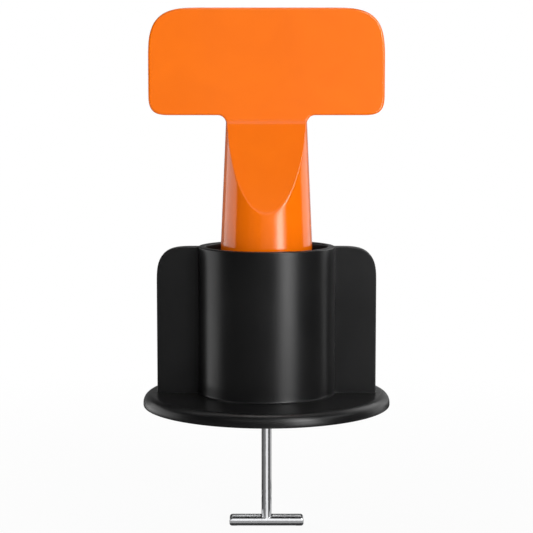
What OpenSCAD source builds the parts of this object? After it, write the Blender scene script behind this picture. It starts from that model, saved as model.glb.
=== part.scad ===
// Tile levelling clip: a screw handle draws a steel T pin up through a round
// foot, so that the foot and the pin's crossbar press two tiles to one level.
// The origin is the middle of the foot's underside, +Z is up and X runs along
// the wings. The pin is drawn let right down, as it goes into the tile joint.

/* [Foot] */
// Diameter of the round foot that presses on the tiles
foot_d = 32; // [28:0.5:40]
// Thickness of the foot
foot_t = 1.6; // [1.6:0.05:2.5]
// Radius of the foot's upper edge
foot_top_round = 1.2; // [0.6:0.05:1.25]
// Radius of the foot's lower edge
foot_low_round = 0.1; // [0.1:0.05:0.25]

/* [Cup] */
// Outer diameter of the threaded cup on the foot
cup_d = 17.65; // [17:0.05:20]
// Thickness of the cup's wall
cup_wall = 0.95; // [0.8:0.05:1.2]
// Height of the cup's rim above the tiles
cup_h = 20.6; // [19:0.05:24]
// Radius of the rim's two edges
rim_round = 0.25; // [0.1:0.05:0.3]
// Radius in the corner between cup and foot
cup_fillet = 0.3; // [0.2:0.05:1]

/* [Wings] */
// How far the wings stop short of the foot's edge
wing_inset = 1.85; // [1.3:0.05:3]
// How far the wings' tops lie below the cup's rim
wing_drop = 0.05; // [0:0.05:1]
// Thickness of a wing
wing_t = 2; // [1.2:0.1:3]
// Length that a wing's soft outer corner takes up of its top and of its end
wing_corner = 5; // [2:0.1:5]

/* [Handle] */
// Width of the plate that the fingers turn
plate_w = 30.1; // [24:0.05:36]
// Height of the plate
plate_h = 13.55; // [11:0.05:18]
// Thickness of the plate
plate_t = 2.2; // [1.6:0.1:3]
// Length that the plate's soft upper corners take up of its sides
plate_top_corner = 7.15; // [3:0.05:7.5]
// Length that the plate's soft lower corners take up of its sides
plate_low_corner = 3; // [1:0.05:3.5]
// Fullness of the soft corners, from 2 for round ones to almost square
corner_power = 3.5; // [2:0.1:5]
// Radius in the corner between plate and shaft
plate_fillet = 1; // [0.4:0.1:2]
// Height of the shaft between the cup's rim and the plate
shaft_h = 16.8; // [14:0.05:22]
// Diameter of the shaft in the cup and at its rim
shaft_low_d = 11.8; // [10.8:0.05:12]
// Diameter of the shaft at the plate
shaft_top_d = 10.3; // [9:0.05:10.8]
// Height of the cove between the plate's face and the neck's edge
cove_h = 0.9; // [0.6:0.05:1.2]
// How far the cove leads out from the plate's face
cove_step = 0.3; // [0.25:0.05:0.5]
// Height above the rim at which the flats run out on the shaft
flat_end_rise = 4.7; // [2:0.05:8]

/* [Screw] */
// Rise of the handle in one turn
thread_lead = 4; // [3.8:0.1:5]
// How far the handle and the pin rise
travel = 10; // [6:0.5:11]
// Width of a thread ridge at its wall
ridge_root_w = 2.2; // [1.6:0.1:2.3]
// Width of a thread ridge at its crest
ridge_crest_w = 1.2; // [0.8:0.1:1.4]

/* [Pin] */
// Width of the pin's flat shank
shank_w = 1.3; // [1:0.05:1.6]
// Depth of the steel from which shank and crossbar are cut
steel_t = 2.2; // [1.4:0.05:2.6]
// Length of the crossbar that goes under the tiles
bar_w = 9.7; // [7:0.1:13]
// Height of the crossbar
bar_h = 1.1; // [0.9:0.05:1.6]
// Radius of the crossbar's four corners
bar_corner = 0.4; // [0.1:0.05:0.4]
// Radius in the corner between shank and crossbar
bar_fillet = 0.35; // [0.2:0.05:0.6]
// Room for the tiles between foot and crossbar
tile_room = 15; // [12:0.1:20]
// Diameter of the round journal that turns in the handle
journal_d = 1.3; // [1:0.05:1.6]
// Length of the journal in the handle
journal_h = 5; // [3:0.5:8]
// Diameter of the pin's head inside the handle
head_d = 3.4; // [2.8:0.1:4.5]
// Height of the pin's head
head_h = 1.2; // [0.8:0.1:2]

/* [Hidden] */
$fn = 96;

// Overlap that makes two shapes one, and overshoot of a cutting shape
bite = 0.4;

// Straight stretches in one soft corner
corner_steps = 16;

// Clearances: between the screw's two ridges and the walls that they face,
// under the handle, round the pin's journal, in its slot and round its head
ridge_clear = 0.4;
floor_gap = 0.3;
running_clear = 0.05;
slot_clear = 0.15;
head_clear = 0.1;

// Foot, cup and wings
foot_r = foot_d / 2;
cup_r = cup_d / 2;
bore_r = cup_r - cup_wall;
wing_span = foot_d - 2 * wing_inset;

// The shaft runs on into the cup as the barrel, and the ridges share the room
// that is left between barrel and bore
barrel_r = shaft_low_d / 2;
barrel_z = foot_t + floor_gap;
thread_depth = bore_r - barrel_r - ridge_clear;

// The handle's ridge stays in the cup when the handle is right up, and the
// cup's ridge stays below what shows over the rim
ridge_half = ridge_root_w / 2 + 0.2;
male_mouth_clear = 1;
male_z = barrel_z + ridge_half;
male_rise = cup_h - male_mouth_clear - travel - ridge_half - male_z;
female_mouth_clear = 2;
female_z = barrel_z + ridge_half;
female_rise = cup_h - female_mouth_clear - ridge_half - female_z;
// Half a turn apart, each ridge runs midway between the other's turns
male_angle = 180;
female_angle = 0;
steps_per_turn = 36;
fade_steps = 9;
ridge_sink = 0.3;
ridge_fade = 0.1;

// The shaft's flats slope from the neck's edge out to the shaft's surface
plate_z = cup_h + shaft_h;
cove_top_z = plate_z - 0.2;
neck_z = cove_top_z - cove_h;
neck_t = plate_t + 2 * cove_step;
cove_r = (cove_step * cove_step + cove_h * cove_h) / (2 * cove_step);
shaft_slope = (shaft_low_d - shaft_top_d) / 2 / shaft_h;
flat_end_r = shaft_low_d / 2 - shaft_slope * flat_end_rise;
flat_slope = (flat_end_r - neck_t / 2) / (neck_z - cup_h - flat_end_rise);

// The pin's crossbar hangs below the tiles and its head sits in the handle
bar_top_z = -tile_room;
head_z = barrel_z + journal_h;

// Quarter of a disc, in the corner where both axes are positive
module quarter_disc(r) {
  intersection() {
    circle(r);
    square(r + bite);
  }
}

// Fillet of radius r in the inside corner of the two axes, with a bite into both
module corner_fill(r) {
  difference() {
    translate([-bite, -bite])
      square(r + bite);
    translate([r, r])
      circle(r);
  }
}

// Upright rectangle on the middle line with its four corners round
module round_box(width, low_z, high_z, r) {
  translate([-width / 2, low_z + r])
    square([width, high_z - low_z - 2 * r]);
  translate([r - width / 2, low_z])
    square([width - 2 * r, high_z - low_z]);
  for (side = [-1, 1], z = [low_z + r, high_z - r])
    translate([side * (width / 2 - r), z])
      circle(r);
}

// Points round a soft corner that takes up length a of both its sides: its
// curve leaves them as gently as a superellipse does
function soft_corner(a) = [
  for (k = [0:corner_steps])
    let (angle = 90 * k / corner_steps)
    let (c = cos(angle), s = sin(angle))
    let (reach = a / pow(pow(c, corner_power) + pow(s, corner_power), 1 / corner_power))
      [reach * c, reach * s]
];

// Upright rectangle on the middle line with soft corners of two sizes
module soft_box(width, low_z, high_z, low_a, high_a) {
  half_w = width / 2;
  low = [for (p = soft_corner(low_a)) [half_w - low_a + p[0], low_z + low_a - p[1]]];
  high = [for (p = soft_corner(high_a)) [half_w - high_a + p[0], high_z - high_a + p[1]]];
  right = concat([for (k = [corner_steps:-1:0]) low[k]], high);
  left = [for (k = [len(right) - 1:-1:0]) [-right[k][0], right[k][1]]];
  polygon(concat(right, left));
}

// Solid of thickness t along Y from an outline drawn in X and Z
module upright(t) {
  rotate([90, 0, 0])
    linear_extrude(t, center = true)
      children();
}

// How much of a ridge stands at step i: it fades in and out over a few steps
function fade(i, steps) = min(1, i / fade_steps, (steps - i) / fade_steps);

// The four corners of a ridge's section at step i, sunk into its wall
function ridge_section(i, steps, wall_r, side) =
  let (flank = (ridge_root_w - ridge_crest_w) / 2 / thread_depth)
  let (height = (thread_depth + ridge_fade) * fade(i, steps) - ridge_fade)
  let (sunk_half = ridge_root_w / 2 + flank * ridge_sink)
  let (crest_half = ridge_root_w / 2 - flank * height)
  let (sunk_r = wall_r - side * ridge_sink)
  let (crest_r = wall_r + side * height)
  [[sunk_r, -sunk_half], [crest_r, -crest_half], [crest_r, crest_half], [sunk_r, sunk_half]];

// Left-hand helical ridge that stands out of a wall (side 1) or into a bore
// (side -1), so that a clockwise turn of the handle raises it
module helical_ridge(wall_r, side, start_z, start_angle, rise) {
  steps = ceil(rise / thread_lead * steps_per_turn);
  points = [
    for (i = [0:steps], corner = ridge_section(i, steps, wall_r, side))
      let (z = start_z + rise * i / steps)
      let (angle = start_angle - 360 * (z - start_z) / thread_lead)
        [corner[0] * cos(angle), corner[0] * sin(angle), z + corner[1]]
  ];
  walls = [
    for (i = [0:steps - 1], k = [0:3])
      let (a = 4 * i + k, b = 4 * i + (k + 1) % 4)
        each [[a, b, b + 4], [a, b + 4, a + 4]]
  ];
  last = 4 * steps;
  ends = [[0, 2, 1], [0, 3, 2], [last, last + 1, last + 2], [last, last + 2, last + 3]];
  faces = concat(walls, ends);
  polyhedron(points, side > 0 ? [for (f = faces) [f[2], f[1], f[0]]] : faces);
}

// Half section of foot and cup, solid to the axis
module base_profile() {
  square([foot_r - foot_top_round, foot_t]);
  square([foot_r - foot_low_round, foot_t - foot_top_round]);
  translate([0, foot_low_round])
    square([foot_r, foot_t - foot_top_round - foot_low_round]);
  translate([foot_r - foot_low_round, foot_low_round])
    circle(foot_low_round);
  translate([foot_r - foot_top_round, foot_t - foot_top_round])
    quarter_disc(foot_top_round);
  translate([cup_r, foot_t])
    corner_fill(cup_fillet);
  square([cup_r, cup_h - rim_round]);
  square([cup_r - rim_round, cup_h]);
  translate([cup_r - rim_round, cup_h - rim_round])
    quarter_disc(rim_round);
}

// Half section of the cup's bore, with a rounded mouth
module bore_profile() {
  translate([0, foot_t])
    square([bore_r, cup_h - foot_t + bite]);
  translate([bore_r, cup_h])
    mirror([0, 1])
      corner_fill(rim_round);
}

module base() {
  color("#26262a") {
    difference() {
      union() {
        rotate_extrude()
          base_profile();
        upright(wing_t)
          soft_box(wing_span, foot_t - bite, cup_h - wing_drop, bite, wing_corner);
      }
      rotate_extrude()
        bore_profile();
      translate([0, 0, foot_t / 2])
        cube([shank_w + 2 * slot_clear, steel_t + 2 * slot_clear, 2 * foot_t], center = true);
    }
    helical_ridge(bore_r, -1, female_z, female_angle, female_rise);
  }
}

// Outline of the plate, with a web that runs down inside the shaft
module plate_outline() {
  web_half = sqrt(pow(shaft_top_d / 2, 2) - pow(plate_t / 2, 2));
  soft_box(plate_w, plate_z, plate_z + plate_h, plate_low_corner, plate_top_corner);
  translate([-web_half, neck_z - bite])
    square([2 * web_half, plate_z - neck_z + 2 * bite]);
  for (side = [0, 1])
    mirror([side, 0])
      translate([shaft_top_d / 2, plate_z])
        mirror([0, 1])
          corner_fill(plate_fillet);
}

// What is cut off one side of the shaft: the cove at its neck, then the flat
module flat_cutter() {
  far_y = shaft_low_d;
  far_z = neck_z - (far_y - neck_t / 2) / flat_slope;
  rotate([90, 0, 90])
    linear_extrude(2 * shaft_low_d, center = true) {
      polygon([
        [neck_t / 2, neck_z],
        [far_y, far_z],
        [far_y, cove_top_z + bite],
        [plate_t / 2, cove_top_z + bite],
        [plate_t / 2, cove_top_z]
      ]);
      translate([plate_t / 2 + cove_r, cove_top_z])
        circle(cove_r);
    }
}

module shaft() {
  difference() {
    translate([0, 0, cup_h])
      cylinder(
        h = cove_top_z - cup_h,
        d1 = shaft_low_d,
        d2 = shaft_low_d - 2 * shaft_slope * (cove_top_z - cup_h)
      );
    for (turn = [0, 180])
      rotate(turn)
        flat_cutter();
  }
}

module handle() {
  color("#fd761f") {
    difference() {
      union() {
        translate([0, 0, barrel_z])
          cylinder(h = cup_h - barrel_z, r = barrel_r);
        shaft();
        upright(plate_t)
          plate_outline();
      }
      translate([0, 0, barrel_z - bite])
        cylinder(h = journal_h + 2 * bite, r = journal_d / 2 + running_clear);
      translate([0, 0, head_z - head_clear])
        cylinder(h = head_h + 2 * head_clear, r = head_d / 2 + head_clear);
    }
    helical_ridge(barrel_r, 1, male_z, male_angle, male_rise);
  }
}

// Outline of the crossbar and the flat shank, seen from the front
module pin_outline() {
  round_box(bar_w, bar_top_z - bar_h, bar_top_z, bar_corner);
  translate([-shank_w / 2, bar_top_z - bar_h / 2])
    square([shank_w, foot_t + floor_gap / 2 - bar_top_z + bar_h / 2]);
  for (side = [0, 1])
    mirror([side, 0])
      translate([shank_w / 2, bar_top_z])
        corner_fill(bar_fillet);
}

module pin() {
  color("#b9bcc0") {
    upright(steel_t)
      pin_outline();
    translate([0, 0, foot_t])
      cylinder(h = head_z + head_h / 2 - foot_t, d = journal_d);
    translate([0, 0, head_z])
      cylinder(h = head_h, d = head_d);
  }
}

base();
handle();
pin();
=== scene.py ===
import math

import bmesh
import bpy
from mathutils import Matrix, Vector


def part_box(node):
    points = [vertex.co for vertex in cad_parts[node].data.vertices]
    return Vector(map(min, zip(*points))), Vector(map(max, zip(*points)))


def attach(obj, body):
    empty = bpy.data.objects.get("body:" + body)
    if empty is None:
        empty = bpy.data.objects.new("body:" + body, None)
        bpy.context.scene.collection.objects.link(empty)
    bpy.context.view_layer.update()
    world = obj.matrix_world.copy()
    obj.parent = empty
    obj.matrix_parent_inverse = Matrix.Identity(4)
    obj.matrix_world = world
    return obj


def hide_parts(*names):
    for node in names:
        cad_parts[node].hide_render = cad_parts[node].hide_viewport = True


# The tile levelling clip: a black moulded base with its foot, cup and two wings, an orange T handle
# that screws into the cup, and the steel T pin that the handle draws up. Meshes are worked out in
# millimetres, in the frame of the solids, and become metres when a piece is made.
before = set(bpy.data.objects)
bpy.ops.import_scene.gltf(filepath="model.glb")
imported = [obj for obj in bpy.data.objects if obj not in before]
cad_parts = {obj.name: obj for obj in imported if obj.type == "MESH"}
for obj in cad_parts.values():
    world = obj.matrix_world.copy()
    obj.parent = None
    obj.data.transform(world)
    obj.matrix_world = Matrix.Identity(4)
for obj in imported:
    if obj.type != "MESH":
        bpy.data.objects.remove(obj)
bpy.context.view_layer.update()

# Points closer than weld become one, edges shorter than sliver go, and the corners of plate and wings
# follow a curve of corner_power, where 2 would be an arc
MM = 0.001
weld = 0.002
sliver = 0.001
corner_power = 3.5
base_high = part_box("base")[1] / MM
handle_low, handle_high = (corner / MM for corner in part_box("handle"))
pin_low, pin_high = (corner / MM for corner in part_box("pin"))

# Base: what the frame's boxes give, then what repeats the solids
foot_r = min(base_high.x, base_high.y)
rim_z = base_high.z
foot_t = 1.6
foot_top_round = 1.2
foot_low_round = 0.1
foot_fillet = 0.3
cup_r = 8.825
cup_wall = 0.95
bore_r = cup_r - cup_wall
rim_round = 0.18
wing_inset = 1.85
wing_half = foot_r - wing_inset
wing_drop = 0.05
wing_top = rim_z - wing_drop
wing_t = 2.0
wing_corner = 5.0
wing_edge = rim_round - wing_drop
wing_fillet = 0.03
wing_fillet_least = 0.02
wing_foot_fillet = 0.008
slot_half_x = 0.8
slot_half_y = 1.25

# Screw
lead = 4.0
travel = 10.0
barrel_r = 5.9
ridge_gap = 0.4
ridge_h = bore_r - barrel_r - ridge_gap
ridge_root_w = 2.2
ridge_crest_w = 1.2
ridge_foot_w = 0.2
ridge_half = ridge_root_w / 2 + ridge_foot_w
ridge_top_gap = 2.0
ridge_run_in = lead / 4

# Handle
plate_half = handle_high.x
plate_top = handle_high.z
plate_h = 13.55
plate_z = plate_top - plate_h
plate_t = 2.2
plate_edge = 0.3
plate_top_corner = 7.15
plate_low_corner = 3.0
plate_fillet = 1.0
shaft_top_r = 5.15
shaft_slope = (barrel_r - shaft_top_r) / (plate_z - rim_z)
cove_drop = 0.45
cove_top_z = plate_z - cove_drop
cove_h = 0.65
cove_step = 0.3
cove_power = 1.4
neck_z = cove_top_z - cove_h
flat_rise = 4.35
flat_end_z = rim_z + flat_rise
flat_blend = 0.08
mouth_depth = 1.0
mouth_z = rim_z - mouth_depth
barrel_z = handle_low.z
barrel_low_round = 0.3
journal_bore_r = 0.7
pocket_r = 1.8
pocket_low = barrel_z + 4.9
pocket_high = barrel_z + 6.3

# Pin
bar_half = pin_high.x
bar_z = pin_low.z
bar_h = 1.1
bar_corner = 0.4
bar_edge = 0.15
bar_fillet = 0.15
steel_t = 2.2
shank_half = 0.65
shank_power = 3.2
journal_r = 0.65
head_r = pin_high.y
head_h = 1.2
head_z = pin_high.z - head_h
head_round = 0.2


def steps(count):
    """Shares from 0 to 1 in that many equal steps."""
    return [k / count for k in range(count + 1)]


def mix(a, b, share):
    return a + (b - a) * share


def arc(centre_x, centre_z, radius, start, end, count, hollow=False):
    """Outline points (x, z) with their outward normals along an arc, from and to an angle in degrees."""
    side = -1.0 if hollow else 1.0
    points = []
    for share in steps(count):
        angle = math.radians(mix(start, end, share))
        c, s = math.cos(angle), math.sin(angle)
        points.append((centre_x + radius * c, centre_z + radius * s, side * c, side * s))
    return points


def soft_corner(centre_x, centre_z, size, start, end, count):
    """Outline points with their outward normals round a corner that is fuller than an arc."""
    points = []
    for share in steps(count):
        angle = math.radians(mix(start, end, share))
        c, s = math.cos(angle), math.sin(angle)
        reach = size / (abs(c) ** corner_power + abs(s) ** corner_power) ** (1 / corner_power)
        normal = Vector((c * abs(c) ** (corner_power - 2), s * abs(s) ** (corner_power - 2))).normalized()
        points.append((centre_x + reach * c, centre_z + reach * s, normal.x, normal.y))
    return points


def rounded_edge(half_t, radius, wall_steps, edge_steps):
    """Section across a plate's edge: how far in from the outline, and how far from the middle plane."""
    wall = [(0.0, (half_t - radius) * k / wall_steps) for k in range(wall_steps)]
    turn = [math.radians(90.0 * share) for share in steps(edge_steps)]
    return wall + [(radius * (1 - math.cos(a)), half_t - radius + radius * math.sin(a)) for a in turn]


def edge_row(edge, section):
    """The section stood on one outline point, across the outline."""
    x, z, nx, nz = edge
    return [(x - inset * nx, y, z - inset * nz) for inset, y in section]


class Skin:
    """Points and faces of one piece in millimetres. Rows that meet are welded when the piece is made."""

    def __init__(self):
        self.points = []
        self.faces = []

    def row(self, points):
        first = len(self.points)
        self.points.extend(points)
        return range(first, len(self.points))

    def strip(self, rows):
        """Faces between each row of points and the next."""
        made = [self.row(points) for points in rows]
        for low, high in zip(made, made[1:]):
            for k in range(len(low) - 1):
                self.faces.append((low[k], low[k + 1], high[k + 1], high[k]))

    def fill(self, points):
        """One flat face."""
        self.faces.append(tuple(self.row(points)))

    def mirror(self):
        """Makes the whole from the quarter where X and Y are positive."""
        quarter_points, quarter_faces = list(self.points), list(self.faces)
        for side_x, side_y in ((-1, 1), (1, -1), (-1, -1)):
            first = len(self.points)
            self.points.extend((side_x * x, side_y * y, z) for x, y, z in quarter_points)
            self.faces.extend(tuple(first + k for k in face) for face in quarter_faces)

    def piece(self, name, body, node, slot, material):
        """The Blender object, welded, smooth, riding on its body in place of its CAD node."""
        shell = bmesh.new()
        corners = [shell.verts.new(Vector(point) * MM) for point in self.points]
        for face in self.faces:
            shell.faces.new([corners[k] for k in face])
        bmesh.ops.remove_doubles(shell, verts=shell.verts, dist=weld * MM)
        bmesh.ops.dissolve_degenerate(shell, edges=shell.edges, dist=sliver * MM)
        bmesh.ops.recalc_face_normals(shell, faces=shell.faces)
        mesh = bpy.data.meshes.new(name)
        shell.to_mesh(mesh)
        shell.free()
        mesh.shade_smooth()
        mesh.materials.append(material)
        made = bpy.data.objects.new(name, mesh)
        bpy.context.scene.collection.objects.link(made)
        even = made.modifiers.new("flats_stay_flat", "WEIGHTED_NORMAL")
        even.weight = 100
        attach(made, body)
        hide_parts(node)
        return made


def circle_row(angles, radius, z):
    return [(radius * math.cos(a), radius * math.sin(a), z) for a in angles]


def row_angles(row):
    return [math.atan2(y, x) for x, y, z in row]


def full_turn(quarter):
    """The angles of a quarter turn carried round the whole circle."""
    half = quarter + [math.pi - a for a in reversed(quarter)]
    turn = half + [a + math.pi for a in half]
    return sorted({round(a % (2 * math.pi), 6) for a in turn})


def threaded_wall(skin, angles, wall_r, side, low_z, high_z, ridge_z, ridge_rise, ridge_angle):
    """Round wall with a left-hand ridge that stands outward (side 1) or inward (side -1).

    The rows run along the ridge, and what would pass the wall's two ends is laid on them.
    """
    # Half of the ridge's section: distance from its middle line and share of its height
    root, crest = ridge_root_w / 2, ridge_crest_w / 2
    flank = [(ridge_half, 0.0), (root - 0.02, 0.05), (crest + 0.1, 0.88), (crest - 0.15, 1.0)]
    profile = [(-lead / 2, 0.0)] + [(-at, h) for at, h in flank] + [(at, h) for at, h in reversed(flank)]
    first_turn = math.floor((low_z - ridge_z) / lead) - 2
    last_turn = math.ceil((high_z - ridge_z) / lead) + 2

    def place(turn, k, angle):
        along = (ridge_angle - angle) / (2 * math.pi) + turn
        offset, height = profile[k]
        z = min(max(ridge_z + lead * along + offset, low_z), high_z)
        to_end = min(along * lead, ridge_rise - along * lead)
        stand = min(max(to_end / ridge_run_in, 0.0), 1.0)
        r = wall_r + side * ridge_h * height * stand * stand * (3 - 2 * stand)
        return (r * math.cos(angle), r * math.sin(angle), z)

    rows = {}
    for turn in range(first_turn, last_turn + 1):
        for k in range(len(profile)):
            rows[turn, k] = skin.row([place(turn, k, a) for a in angles])
    for turn in range(first_turn + 1, last_turn):
        for k in range(len(profile)):
            upper = (turn, k + 1) if k + 1 < len(profile) else (turn + 1, 0)
            low, high = rows[turn, k], rows[upper]
            for i in range(len(angles) - 1):
                skin.faces.append((low[i], low[i + 1], high[i + 1], high[i]))
            low_next, high_next = rows[turn - 1, k], rows[upper[0] - 1, upper[1]]
            skin.faces.append((low[-1], low_next[0], high_next[0], high[-1]))


def base_mesh():
    """The moulding with foot, cup and wings, and the ridge inside the cup."""
    skin = Skin()
    past_corner = 0.2  # degrees from the wing's corner on to the cup's next column

    def wing_corner_at(wing_grow, cup_grow):
        """Radius and middle of the upright corner between wing and cup, and where it meets the cup."""
        radius = max(wing_fillet - cup_grow, wing_fillet_least)
        centre_y = wing_t / 2 + wing_grow + radius
        centre_x = math.sqrt((cup_r + cup_grow + radius) ** 2 - centre_y ** 2)
        return radius, centre_x, centre_y, math.degrees(math.atan2(centre_y, centre_x))

    def wall_row(edge, wing_grow, cup_grow, cup_z):
        """Quarter of the wall: the wing's end, edge and face, the corner at the cup, then the cup."""
        face_y = wing_t / 2 + wing_grow
        radius, centre_x, centre_y, touch = wing_corner_at(wing_grow, cup_grow)
        row = edge_row(edge, rounded_edge(face_y, wing_edge + wing_grow, 2, 6))
        inner_x, _, inner_z = row[-1]
        for share in steps(4)[1:]:
            row.append((mix(inner_x, centre_x, share), face_y, mix(inner_z, cup_z, share)))
        corner = arc(centre_x, centre_y, radius, 270, 180 + touch, 6)
        row += [(x, y, cup_z) for x, y, _, _ in corner[1:]]
        cup = arc(0, 0, cup_r + cup_grow, touch + past_corner, 90, 40)
        return row + [(x, y, cup_z) for x, y, _, _ in cup]

    # The corner all round where cup and wings stand on the foot, finer at the wings
    rows = []
    for share in steps(5):
        angle = math.radians(90 * share)
        out, rise = 1 - math.sin(angle), 1 - math.cos(angle)
        wing_grow = wing_foot_fillet * out
        edge = (wing_half + wing_grow, foot_t + wing_foot_fillet * rise, 1, 0)
        rows.append(wall_row(edge, wing_grow, foot_fillet * out, foot_t + foot_fillet * rise))
    foot_angles = row_angles(rows[0])

    # Up the wings and the cup: each row goes round the wing's edge a little further
    low_z = foot_t + foot_fillet
    _, centre_x, _, touch = wing_corner_at(0, 0)
    path = soft_corner(wing_half - wing_corner, wing_top - wing_corner, wing_corner, 0, 90, 20)
    path.append((centre_x, wing_top, 0, 1))
    for k, edge in enumerate(path):
        rows.append(wall_row(edge, 0, 0, mix(low_z, wing_top - wing_edge, (k + 1) / len(path))))
    cup_angles = row_angles(rows[-1])

    # The rim, whose outer edge starts higher where it comes out of a wing's top
    wing_start = math.asin(1 - wing_drop / rim_round)
    wing_side = math.atan2(wing_t / 2, centre_x)
    cup_side = math.radians(touch)
    for share in steps(6)[1:]:
        row = []
        for a in cup_angles:
            off_wing = min(max((a - wing_side) / (cup_side - wing_side), 0.0), 1.0)
            turn = mix(mix(wing_start, 0.0, off_wing), math.pi / 2, share)
            r = cup_r - rim_round + rim_round * math.cos(turn)
            z = rim_z - rim_round + rim_round * math.sin(turn)
            row.append((r * math.cos(a), r * math.sin(a), z))
        rows.append(row)
    for share in steps(5):
        angle = math.radians(90 * share)
        r = bore_r + rim_round - rim_round * math.sin(angle)
        rows.append(circle_row(cup_angles, r, rim_z - rim_round + rim_round * math.cos(angle)))
    skin.strip(rows)

    # The foot: its top, its two rounded edges, its underside and the pin's slot
    def slot_row(z):
        row = []
        for a in foot_angles:
            reach = min(slot_half_x / max(math.cos(a), 1e-9), slot_half_y / max(math.sin(a), 1e-9))
            row.append((reach * math.cos(a), reach * math.sin(a), z))
        return row

    rows = [rows[0]]
    for x, z, _, _ in arc(foot_r - foot_top_round, foot_t - foot_top_round, foot_top_round, 90, 0, 10):
        rows.append(circle_row(foot_angles, x, z))
    for x, z, _, _ in arc(foot_r - foot_low_round, foot_low_round, foot_low_round, 0, -90, 4):
        rows.append(circle_row(foot_angles, x, z))
    rows += [slot_row(0.0), slot_row(foot_t), circle_row(cup_angles, bore_r, foot_t)]
    skin.strip(rows)
    skin.mirror()

    ridge_z = barrel_z + ridge_half
    ridge_rise = rim_z - ridge_top_gap - ridge_half - ridge_z
    ring = full_turn(cup_angles)
    threaded_wall(skin, ring, bore_r, -1, foot_t, rim_z - rim_round, ridge_z, ridge_rise, 0.0)
    return skin


def shaft_radius(z):
    return barrel_r - shaft_slope * (z - rim_z)


def flat_half(z):
    """Half thickness left between the shaft's two flats, then between the coves at the plate."""
    if z < neck_z:
        neck_half = plate_t / 2 + cove_step
        return neck_half + (shaft_radius(flat_end_z) - neck_half) * (neck_z - z) / (neck_z - flat_end_z)
    rest = max(cove_top_z - z, 0.0)
    return plate_t / 2 + cove_step * (rest / cove_h) ** cove_power


def soft_least(a, b, blend):
    """The smaller of two lengths, rounded off where they meet."""
    near = max(blend - abs(a - b), 0.0) / blend
    return min(a, b) - near * near * blend / 4


def handle_mesh():
    """The moulding with plate, neck, shaft and threaded barrel."""
    skin = Skin()
    wall_steps, edge_steps, flat_steps = 5, 9, 18
    round_points = wall_steps + edge_steps + 1
    crowd = 1.8
    # Angles from the front to the crowded column, at the rim and where the flat ends
    rim_spread, flat_end_spread = math.radians(42), math.radians(14)
    neck_row = 0.06  # from the shaft's last even row up to the neck

    def shaft_angles(z):
        """From the side round to the front, crowded at the flat's edge, and even below the flat."""
        flat = math.acos(min(flat_half(z) / shaft_radius(z), 1.0))
        low = mix(rim_spread, flat_end_spread, min((z - rim_z) / (flat_end_z - rim_z), 1.0))
        edge = max(flat, low)
        side = [mix(edge, math.pi / 2, (1 - k / (round_points - 1)) ** crowd) for k in range(round_points)]
        return side + [edge * (1 - share ** crowd) for share in steps(flat_steps)[1:]]

    def shaft_row(z):
        r, half = shaft_radius(z), flat_half(z)
        return [(r * math.sin(a), soft_least(r * math.cos(a), half, flat_blend), z) for a in shaft_angles(z)]

    # The shaft, from inside the cup's mouth up to the neck
    fillet_z = plate_z - plate_fillet
    fillet_x = shaft_radius(fillet_z) + plate_fillet
    heights = [mix(rim_z, neck_z - neck_row, share) for share in steps(64)]
    angles = [math.pi / 2 - a for a in shaft_angles(rim_z)]
    rows = [circle_row(angles, barrel_r, mouth_z)]
    rows += [shaft_row(z) for z in heights + [neck_z]]

    # The neck, where the shaft's round sides turn into the plate's edge and its flats into its faces
    neck_rise = cove_top_z - fillet_z
    last_turn = math.degrees(math.asin(neck_rise / (plate_fillet + plate_edge)))
    neck = arc(fillet_x, fillet_z, plate_fillet, 180, 180 - last_turn, 7, hollow=True)
    for k, edge in enumerate(neck):
        share = k / (len(neck) - 1)
        face_z = edge[1] - plate_edge * edge[3]
        half = flat_half(face_z)
        flat_edge = edge_row(edge, rounded_edge(half, plate_edge, wall_steps, edge_steps))
        r = shaft_radius(face_z) + edge[0] - neck[0][0]
        tops = shaft_angles(neck_z)[:round_points]
        round_edge = [(r * math.sin(a), soft_least(r * math.cos(a), half, flat_blend)) for a in tops]
        row = []
        for (x, y, z), (round_x, round_y) in zip(flat_edge, round_edge):
            row.append((mix(round_x, x, share), mix(round_y, y, share), z))
        inner_x = row[-1][0]
        row += [(inner_x * (1 - s ** crowd), half, face_z) for s in steps(flat_steps)[1:]]
        rows.append(row)
    skin.strip(rows)

    # The plate: its rounded edge right round the outline, then its flat faces
    outline = arc(fillet_x, fillet_z, plate_fillet, 180 - last_turn, 90, 5, hollow=True)
    low_corner = (plate_half - plate_low_corner, plate_z + plate_low_corner)
    outline += soft_corner(*low_corner, plate_low_corner, -90, 0, 18)
    top_corner = (plate_half - plate_top_corner, plate_top - plate_top_corner)
    outline += soft_corner(*top_corner, plate_top_corner, 0, 90, 30)
    outline.append((0.0, plate_top, 0.0, 1.0))
    section = rounded_edge(plate_t / 2, plate_edge, wall_steps, edge_steps)
    edges = [edge_row(edge, section) for edge in outline]
    skin.strip(edges)
    skin.fill([row[-1] for row in edges] + list(reversed(rows[-1][round_points:])))

    # The barrel's lower edge, the bore for the pin's journal and the pocket for its head
    wall_z = barrel_z + barrel_low_round
    low_edge = arc(barrel_r - barrel_low_round, wall_z, barrel_low_round, 0, -90, 4)
    profile = [(x, z) for x, z, _, _ in low_edge]
    profile += [(journal_bore_r, barrel_z), (journal_bore_r, pocket_low)]
    profile += [(pocket_r, pocket_low), (pocket_r, pocket_high), (0.0, pocket_high)]
    skin.strip([circle_row(angles, r, z) for r, z in profile])
    skin.mirror()

    # The ridge ends low enough to stay in the cup when the handle has made its whole travel
    ridge_z = barrel_z + ridge_half
    ridge_rise = mouth_z - travel - ridge_half - ridge_z
    ring = full_turn(angles)
    threaded_wall(skin, ring, barrel_r, 1, wall_z, mouth_z, ridge_z, ridge_rise, math.pi)
    return skin


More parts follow.
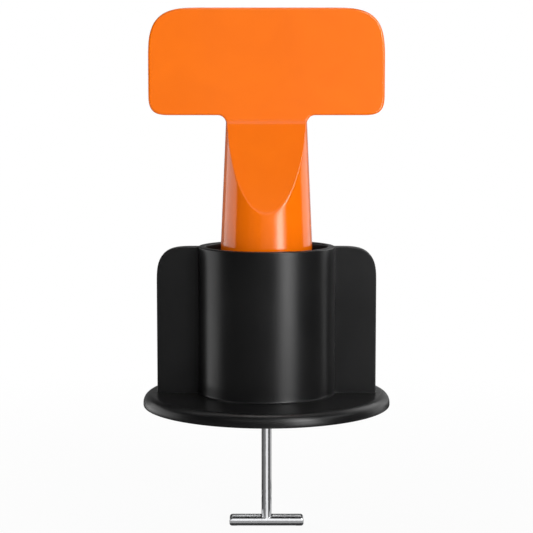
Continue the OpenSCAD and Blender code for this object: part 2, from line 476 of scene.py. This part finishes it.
def pin_mesh():
    """The T pin: crossbar, flat shank, and the round journal with its head."""
    skin = Skin()
    bar_top = bar_z + bar_h
    bar_mid = bar_z + bar_h / 2
    shank_top = foot_t
    half_t = steel_t / 2
    # From a corner to the row of points that keeps the long faces next to it flat
    beside, top_beside = 0.04, 0.05

    def oval(across, half_across, half_along):
        """The shank's section: how far it reaches one way, at a distance the other way."""
        return half_along * max(1 - (across / half_across) ** shank_power, 0.0) ** (1 / shank_power)

    # The shank's section from its side to its front, and how far the crossbar's edge has dropped there
    flat_y = half_t - bar_edge
    front_x = oval(flat_y, half_t, shank_half)
    section = [(oval(flat_y * s, half_t, shank_half), flat_y * s, 0.0) for s in steps(6)[:-1]]
    for share in steps(20):
        x = front_x * (1 - share)
        y = oval(x, shank_half, half_t)
        section.append((x, y, bar_edge - math.sqrt(max(bar_edge ** 2 - (y - flat_y) ** 2, 0.0))))

    # The crossbar's section, as shares of the way in to its middle line and distances to the front
    crown = [(drop / (bar_h / 2), y) for _, y, drop in section]
    front = [(mix(crown[-1][0], 1.0, share), half_t) for share in steps(5)[1:]]

    def bar_row(x, z, middle_x, columns):
        """Row across the crossbar, from one point of its outline in to its middle line."""
        return [(mix(x, middle_x, inset), y, mix(z, bar_mid, inset)) for inset, y in columns]

    # Down the shank, whose sides run out on the crossbar in a small fillet
    shank = [[(x, y, z) for x, y, _ in section] for z in (shank_top, shank_top - top_beside)]
    shank.append([(x, y, bar_top - drop + bar_fillet * x / shank_half + beside) for x, y, drop in section])
    for share in steps(5):
        angle = math.radians(90 * share)
        out, rise = 1 - math.cos(angle), 1 - math.sin(angle)
        row = []
        for x, y, drop in section:
            size = bar_fillet * x / shank_half
            row.append((x + size * out, y, bar_top - drop + size * rise))
        shank.append(row)
    skin.strip(shank)

    # Along the crossbar, round its end and back along its underside
    side_x = shank_half + bar_fillet + beside
    end_x = bar_half - bar_h / 2
    end = arc(bar_half - bar_corner, bar_top - bar_corner, bar_corner, 90, 0, 7)
    end += arc(bar_half - bar_corner, bar_z + bar_corner, bar_corner, 0, -90, 7)
    rows = [shank[-1] + bar_row(0.0, bar_top, 0.0, front)]
    rows.append(bar_row(side_x, bar_top, side_x, crown + front))
    rows += [bar_row(x, z, end_x, crown + front) for x, z, _, _ in end]
    rows.append(bar_row(side_x, bar_z, side_x, crown + front))
    rows.append(bar_row(0.0, bar_z, 0.0, crown + front))
    skin.strip(rows)

    # Round above the foot: the journal and its head, inside the handle
    angles = row_angles(shank[0])
    profile = [(journal_r, shank_top), (journal_r, head_z)]
    head = arc(head_r - head_round, head_z + head_round, head_round, -90, 0, 4)
    head += arc(head_r - head_round, pin_high.z - head_round, head_round, 0, 90, 4)
    profile += [(x, z) for x, z, _, _ in head]
    profile.append((0.0, pin_high.z))
    skin.strip([shank[0]] + [circle_row(angles, r, z) for r, z in profile])
    skin.mirror()
    return skin


def camera():
    """The photograph's view: a long lens, a little above the cup, looking slightly down."""
    distance, height, pitch = 194.7, 38.04, 5.896
    focal_px, image_px = 1514.4, 533
    data = bpy.data.cameras.new("camera")
    data.sensor_width = 36.0
    data.lens = data.sensor_width * focal_px / image_px
    data.clip_start = 0.01
    eye = bpy.data.objects.new("camera", data)
    eye.location = (0.0, -distance * MM, height * MM)
    eye.rotation_euler = (math.radians(90 - pitch), 0.0, 0.0)
    bpy.context.scene.collection.objects.link(eye)
    bpy.context.scene.camera = eye


def add(tree, kind, inputs=None, **settings):
    """A new node with settings by attribute and inputs by name: a socket is linked, a value is set."""
    node = tree.nodes.new(kind)
    for key, value in settings.items():
        setattr(node, key, value)
    for key, value in (inputs or {}).items():
        if isinstance(value, bpy.types.NodeSocket):
            tree.links.new(value, node.inputs[key])
        else:
            node.inputs[key].default_value = value
    return node


def maths(tree, operation, a, b, clamp=False):
    return add(tree, "ShaderNodeMath", {0: a, 1: b}, operation=operation, use_clamp=clamp).outputs[0]


def spread(tree, value, low, high, new_low, new_high):
    """Carries a value from one range to another, held inside both."""
    inputs = {"Value": value, "From Min": low, "From Max": high, "To Min": new_low, "To Max": new_high}
    return add(tree, "ShaderNodeMapRange", inputs).outputs["Result"]


def noise(tree, vector, scale, detail, distortion=0.0):
    inputs = {"Vector": vector, "Scale": scale, "Detail": detail, "Distortion": distortion}
    return add(tree, "ShaderNodeTexNoise", inputs).outputs[0]


def tinted(tree, share, colour_a, colour_b):
    """Goes from one colour to the other. Inputs 6 and 7 and output 2 are the node's colour sockets."""
    inputs = {"Factor": share, 6: (*colour_a, 1), 7: (*colour_b, 1)}
    return add(tree, "ShaderNodeMix", inputs, data_type="RGBA").outputs[2]


def shader_group(name, inputs, outputs):
    """A node group with its sockets: names with types and values in, names out."""
    tree = bpy.data.node_groups.new(name, "ShaderNodeTree")
    for label, (kind, value) in inputs.items():
        socket = tree.interface.new_socket(label, in_out="INPUT", socket_type=kind)
        socket.default_value = value
    for label in outputs:
        tree.interface.new_socket(label, in_out="OUTPUT", socket_type="NodeSocketFloat")
    given = tree.nodes.new("NodeGroupInput").outputs
    wanted = tree.nodes.new("NodeGroupOutput").inputs
    return tree, given, wanted


def moulded_skin():
    """Skin of a moulding: the tool's fine grain, and slow waves in the polish and the colour."""
    inputs = {
        "Grain": ("NodeSocketFloat", 4000.0),
        "Grain Height": ("NodeSocketFloat", 0.5),
        "Polish": ("NodeSocketFloat", 0.2),
        "Polish Spread": ("NodeSocketFloat", 0.05),
    }
    tree, given, wanted = shader_group("moulded_skin", inputs, ("Height", "Roughness", "Tint"))
    place = add(tree, "ShaderNodeTexCoord").outputs["Object"]
    grain = noise(tree, place, scale=given["Grain"], detail=3.0)
    flow = noise(tree, place, scale=140.0, detail=2.0, distortion=0.6)
    rough = maths(tree, "MULTIPLY", maths(tree, "SUBTRACT", flow, 0.5), given["Polish Spread"])
    tree.links.new(maths(tree, "MULTIPLY", grain, given["Grain Height"]), wanted["Height"])
    tree.links.new(maths(tree, "ADD", given["Polish"], rough), wanted["Roughness"])
    tree.links.new(spread(tree, flow, 0.3, 0.7, 0.0, 1.0), wanted["Tint"])
    return tree


def handling_marks():
    """Hairlines from handling or drawing, stretched along the piece and gathered in patches."""
    inputs = {
        "Stretch": ("NodeSocketVector", (1.0, 1.0, 1.0)),
        "Fineness": ("NodeSocketFloat", 3000.0),
        "Amount": ("NodeSocketFloat", 0.5),
    }
    tree, given, wanted = shader_group("handling_marks", inputs, ("Marks",))
    place = add(tree, "ShaderNodeTexCoord").outputs["Object"]
    stretched = add(tree, "ShaderNodeVectorMath", {0: place, 1: given["Stretch"]}, operation="MULTIPLY")
    hairs = noise(tree, stretched.outputs[0], scale=given["Fineness"], detail=2.0)
    patches = noise(tree, place, scale=260.0, detail=1.0)
    lines = spread(tree, hairs, 0.5, 0.72, 0.0, 1.0)
    gathered = maths(tree, "MULTIPLY", lines, spread(tree, patches, 0.4, 0.65, 0.2, 1.0))
    tree.links.new(maths(tree, "MULTIPLY", gathered, given["Amount"]), wanted["Marks"])
    return tree


def finish(name, metallic, bump_mm):
    """A material with its Principled shader and a Bump node on it, ready to be wired."""
    material = bpy.data.materials.new(name)
    material.use_nodes = True
    tree = material.node_tree
    shader = tree.nodes["Principled BSDF"]
    shader.inputs["Metallic"].default_value = metallic
    bump = add(tree, "ShaderNodeBump", {"Strength": 1.0, "Distance": bump_mm * MM})
    tree.links.new(bump.outputs["Normal"], shader.inputs["Normal"])
    return material, tree, shader, bump


def plastic(name, skin_group, marks_group, gloss, shades, skin, marks, bump_mm, dulling):
    """A moulded plastic: two shades of one colour, grain and polish, and faint hairlines."""
    material, tree, shader, bump = finish(name, metallic=0.0, bump_mm=bump_mm)
    shader.inputs["Specular IOR Level"].default_value = gloss
    surface = add(tree, "ShaderNodeGroup", skin, node_tree=skin_group).outputs
    marked = add(tree, "ShaderNodeGroup", marks, node_tree=marks_group).outputs["Marks"]
    height = maths(tree, "SUBTRACT", surface["Height"], marked)
    rough = maths(tree, "ADD", surface["Roughness"], maths(tree, "MULTIPLY", marked, dulling))
    tree.links.new(tinted(tree, surface["Tint"], *shades), shader.inputs["Base Color"])
    tree.links.new(rough, shader.inputs["Roughness"])
    tree.links.new(height, bump.inputs["Height"])
    return material


def satin_black_plastic(skin_group, marks_group):
    """The base's finish: nearly black, with a fine grain that softens its gloss."""
    return plastic(
        "satin_black_plastic", skin_group, marks_group,
        gloss=0.27,
        shades=((0.006, 0.006, 0.0062), (0.0074, 0.0074, 0.0076)),
        skin={"Grain": 5000.0, "Grain Height": 0.5, "Polish": 0.31, "Polish Spread": 0.1},
        marks={"Stretch": (1.0, 1.0, 0.12), "Fineness": 2500.0, "Amount": 0.3},
        bump_mm=0.006,
        dulling=0.1,
    )


def gloss_orange_plastic(skin_group, marks_group):
    """The handle's finish: glossy orange, with hardly any grain."""
    return plastic(
        "gloss_orange_plastic", skin_group, marks_group,
        gloss=0.5,
        shades=((0.945, 0.168, 0.0012), (0.985, 0.182, 0.0016)),
        skin={"Grain": 2500.0, "Grain Height": 0.25, "Polish": 0.14, "Polish Spread": 0.04},
        marks={"Stretch": (0.1, 1.0, 1.0), "Fineness": 2500.0, "Amount": 0.15},
        bump_mm=0.002,
        dulling=0.15,
    )


def bright_steel(marks_group):
    """Bright flat steel: fine lines along the pin, a little darker and duller where they gather."""
    bright, dull = (0.66, 0.665, 0.68), (0.52, 0.525, 0.54)
    marks = {"Stretch": (1.0, 1.0, 0.06), "Fineness": 9000.0, "Amount": 1.0}
    material, tree, shader, bump = finish("bright_steel", metallic=1.0, bump_mm=0.002)
    marked = add(tree, "ShaderNodeGroup", marks, node_tree=marks_group).outputs["Marks"]
    tree.links.new(tinted(tree, marked, bright, dull), shader.inputs["Base Color"])
    tree.links.new(spread(tree, marked, 0.0, 1.0, 0.08, 0.2), shader.inputs["Roughness"])
    tree.links.new(marked, bump.inputs["Height"])
    return material


def glowing(name, shade):
    """Plain emission for a studio card, whose glow is painted light and shade in reflections."""
    material = bpy.data.materials.new(name)
    material.use_nodes = True
    tree = material.node_tree
    tree.nodes.remove(tree.nodes["Principled BSDF"])
    glow = add(tree, "ShaderNodeEmission", {"Strength": shade})
    tree.links.new(glow.outputs[0], tree.nodes["Material Output"].inputs["Surface"])
    material.cycles.emission_sampling = "NONE"
    return material


def staged(name, points, faces, material):
    """A mesh of the studio, in millimetres, that isn't part of the object."""
    mesh = bpy.data.meshes.new(name)
    mesh.from_pydata([Vector(point) * MM for point in points], [], faces)
    mesh.materials.append(material)
    made = bpy.data.objects.new(name, mesh)
    bpy.context.scene.collection.objects.link(made)
    return made


def reflected_only(made):
    made.visible_camera = False
    made.visible_diffuse = False
    made.visible_transmission = False
    made.visible_shadow = False


def card(name, turn, low, high, shade):
    """Painted reflection: a glowing card, seen only in reflections, bent round the object between two
    (radius, height) edges.

    The turn is from one azimuth to another in degrees, 0 on the camera's side and growing to the right.
    """
    facet = 4  # degrees
    points, faces = [], []
    count = max(2, round(abs(turn[1] - turn[0]) / facet))
    for share in steps(count):
        angle = math.radians(mix(*turn, share))
        points += [(r * math.sin(angle), -r * math.cos(angle), z) for r, z in (low, high)]
    for k in range(count):
        faces.append((2 * k, 2 * k + 2, 2 * k + 3, 2 * k + 1))
    reflected_only(staged(name, points, faces, glowing(name, shade)))


def flat_card(name, half_w, edge_a, edge_b, shade):
    """Painted reflection: a flat glowing card, seen only in reflections, between two (y, z) edges along X.
    """
    (y_a, z_a), (y_b, z_b) = edge_a, edge_b
    points = [(-half_w, y_a, z_a), (half_w, y_a, z_a), (half_w, y_b, z_b), (-half_w, y_b, z_b)]
    reflected_only(staged(name, points, [(0, 1, 2, 3)], glowing(name, shade)))


def cards():
    """Painted reflections for the gloss and the steel: glowing cards as dark walls, tall bright panels and
    the ground near the pin.
    """
    ground, middle_z, top = bar_z + 0.01, 2, 240.0
    wall_r, far_r = 150.0, 158.0
    whole, front = (-180, 180), (-90, 90)
    # Dark walls, ground and ceiling paint a dark studio into reflections only, where the camera sees the
    # pale floor and white world
    card("dark_wall", whole, (far_r, ground), (far_r, top), 0.015)
    card("dark_ground", whole, (60, ground), (far_r, ground), 0.015)
    flat_card("ceiling_panel", 40, (30, top), (90, top), 10.5)
    card("dark_ceiling", front, (30, top + 1), (far_r, top + 1), 0.05)

    # Low panels and cards, each with a strip of the same glow painted on the ground in front of it
    for name, turn, inner_r, shade in (
        ("left_low_panel", (-140, -84), 84, 1.9),
        ("left_front_low_card", (-84, -45), 76, 0.13),
        ("front_left_low_card", (-45, -14), 76, 0.17),
        ("front_right_low_flank_left", (16.5, 23.5), 90, 2.3),
        ("front_right_low_panel", (23.5, 43.5), 90, 5.8),
        ("front_right_low_flank_right", (43.5, 50), 90, 3.0),
        ("right_back_low_panel", (108, 132), 90, 1.15),
    ):
        card(name + "_ground", turn, (inner_r, ground + 0.1), (wall_r, ground + 0.1), shade)
        card(name, turn, (wall_r, ground), (wall_r, middle_z), shade)

    # Panels and cards all round the wall
    for name, turn, low_z, high_z, shade in (
        ("left_panel", (-136, -84), middle_z, 62, 1.65),
        ("left_top_card", (-120, -85), 150, top, 1.0),
        ("front_left_card", (-45, -14), middle_z, 62, 0.08),
        ("front_right_flank_left", (19, 26), middle_z, top, 2.5),
        ("front_right_panel", (26, 42), middle_z, 30, 10.5),
        ("front_right_middle_panel", (26, 42), 30, 55, 4.0),
        ("front_right_high_panel", (26, 42), 55, 105, 18.0),
        ("front_right_top_panel", (26, 42), 105, top, 10.0),
        ("front_right_flank_right", (42, 49), middle_z, top, 3.0),
        ("right_high_card", (55, 90), 75, 130, 1.8),
        ("right_back_panel", (105, 142), middle_z, 60, 1.4),
        ("right_back_high_card", (108, 146), 60, 160, 2.4),
        ("back_right_card", (142, 180), ground, 60, 0.42),
        ("back_left_card", (180, 222), ground, 60, 0.2),
        ("front_low_left_card", (-14, 2), ground, 15, 0.34),
        ("front_low_right_card", (2, 19), ground, 15, 0.03),
        ("front_middle_card_1", (-14, -6), 15, 84, 0.30),
        ("front_middle_card_2", (-6, 2), 15, 84, 0.41),
        ("front_middle_card_3", (2, 10), 15, 84, 0.52),
        ("front_middle_card_4", (10, 18), 15, 84, 0.63),
        ("front_high_card", (-35, 18), 84, 130, 1.1),
        ("front_top_card", (-40, 18), 130, top, 0.2),
    ):
        card(name, turn, (wall_r, low_z), (wall_r, high_z), shade)
    # A glowing card close in front of the plate paints the light band along its coves
    flat_card("cove_card", 14, (-20, plate_z + 18), (-20, plate_z + 62), 1.2)

    # Painted light and shade on the ground that the pin's shank and crossbar mirror, and cards close to the
    # crossbar
    pin_ground = ground + 0.05
    for name, turn, shade in (
        ("pin_ground_left", (-60, -3), 0.25),
        ("pin_ground_front", (-3, 16), 1.2),
        ("pin_ground_right", (16, 85), 0.08),
        ("pin_ground_right_back", (85, 150), 0.6),
        ("pin_ground_back", (150, 300), 0.12),
    ):
        card(name, turn, (4, pin_ground), (72, pin_ground), shade)
    near_z, shadow_z = ground + 0.08, ground + 0.09
    # Grey and white glow on the ground and in front paints the crossbar's bands into its reflections
    flat_card("bar_ground_near", 7, (-3.9, near_z), (3.9, near_z), 0.45)
    # A dark card under the crossbar paints its contact shadow into its reflections
    flat_card("bar_shadow", bar_half + 0.4, (-2.2, shadow_z), (2.2, shadow_z), 0.05)
    flat_card("bar_front_card", 6.5, (-3, ground + 0.2), (-3, ground + 0.5), 1.5)
    # A dark card behind the crossbar paints a dark line on its top in reflections, a painted shade rather
    # than a shadow that falls
    flat_card("bar_back_shadow", 8, (5, bar_z + 1.2), (5, bar_z + 4), 0.02)
    flat_card("bar_back_card", 8, (4.9, bar_z + 2.35), (4.9, bar_z + 2.49), 1.2)


def lamp(name, azimuth, elevation, width, height, level):
    """Soft rectangular lamp that lights a white surface facing it, at the clip, to the given level."""
    distance = 0.6
    aim = Vector((0.0, 0.0, 20.0)) * MM
    data = bpy.data.lights.new(name, "AREA")
    data.shape = "RECTANGLE"
    data.size, data.size_y = width, height
    data.energy = level * math.pi ** 2 * distance ** 2
    made = bpy.data.objects.new(name, data)
    turn, tilt = math.radians(azimuth), math.radians(elevation)
    away = Vector((math.sin(turn) * math.cos(tilt), -math.cos(turn) * math.cos(tilt), math.sin(tilt)))
    made.location = away * distance + aim
    made.rotation_euler = away.to_track_quat("Z", "Y").to_euler()
    made.visible_camera = False
    # The lamp's own reflection is left out; the glowing cards paint the highlights
    made.visible_glossy = False
    bpy.context.scene.collection.objects.link(made)


def seen_ray(tree):
    """1 for camera, glossy and transmission rays, 0 for the rest."""
    path = add(tree, "ShaderNodeLightPath").outputs
    mirrored = maths(tree, "ADD", path["Is Glossy Ray"], path["Is Transmission Ray"], clamp=True)
    return maths(tree, "ADD", path["Is Camera Ray"], mirrored, clamp=True)


def surroundings(ambient):
    """White world where it is seen, with a low even light on the object."""
    world = bpy.data.worlds.new("studio")
    world.use_nodes = True
    tree = world.node_tree
    light = tree.nodes["Background"].inputs
    light["Color"].default_value = (1, 1, 1, 1)
    tree.links.new(spread(tree, seen_ray(tree), 0.0, 1.0, ambient, 1.0), light["Strength"])
    bpy.context.scene.world = world


def floor():
    """Round pale floor under the crossbar, white where it is seen, with a faint shadow near the object."""
    radius, sides = 1500.0, 64
    shadow_r, clean_r, shadow_white = 20.0, 120.0, 0.94
    material = bpy.data.materials.new("pale_floor")
    material.use_nodes = True
    tree = material.node_tree
    shader = tree.nodes["Principled BSDF"]
    shader.inputs["Base Color"].default_value = (0.85, 0.85, 0.85, 1)
    shader.inputs["Roughness"].default_value = 0.9
    shader.inputs["Specular IOR Level"].default_value = 0.0
    white = add(tree, "ShaderNodeEmission", {"Strength": 1.0})
    place = add(tree, "ShaderNodeTexCoord").outputs["Object"]
    reach = add(tree, "ShaderNodeVectorMath", {0: place}, operation="LENGTH").outputs["Value"]
    clean = spread(tree, reach, shadow_r * MM, clean_r * MM, shadow_white, 1.0)
    blend = add(tree, "ShaderNodeMixShader", {0: maths(tree, "MULTIPLY", clean, seen_ray(tree))})
    tree.links.new(shader.outputs[0], blend.inputs[1])
    tree.links.new(white.outputs[0], blend.inputs[2])
    tree.links.new(blend.outputs[0], tree.nodes["Material Output"].inputs["Surface"])
    rim = circle_row([math.tau * k / sides for k in range(sides)], radius, bar_z)
    staged("floor", rim, [tuple(range(sides))], material)


camera()
skin_group = moulded_skin()
marks_group = handling_marks()
black = satin_black_plastic(skin_group, marks_group)
orange = gloss_orange_plastic(skin_group, marks_group)
steel = bright_steel(marks_group)
base_mesh().piece("base_moulding", "base", "base", "base", black)
handle_mesh().piece("handle_moulding", "handle", "handle", "handle", orange)
pin_mesh().piece("steel_pin", "pin", "pin", "pin", steel)

surroundings(ambient=0.08)
floor()
cards()
lamp("front_right_lamp", azimuth=26, elevation=11, width=0.3, height=0.22, level=0.89)
lamp("left_back_lamp", azimuth=-125, elevation=8, width=0.4, height=0.8, level=0.9)
lamp("right_back_lamp", azimuth=125, elevation=8, width=0.4, height=0.8, level=0.4)
lamp("back_lamp", azimuth=180, elevation=14, width=0.3, height=0.3, level=0.3)
bpy.context.scene.view_settings.view_transform = "Standard"
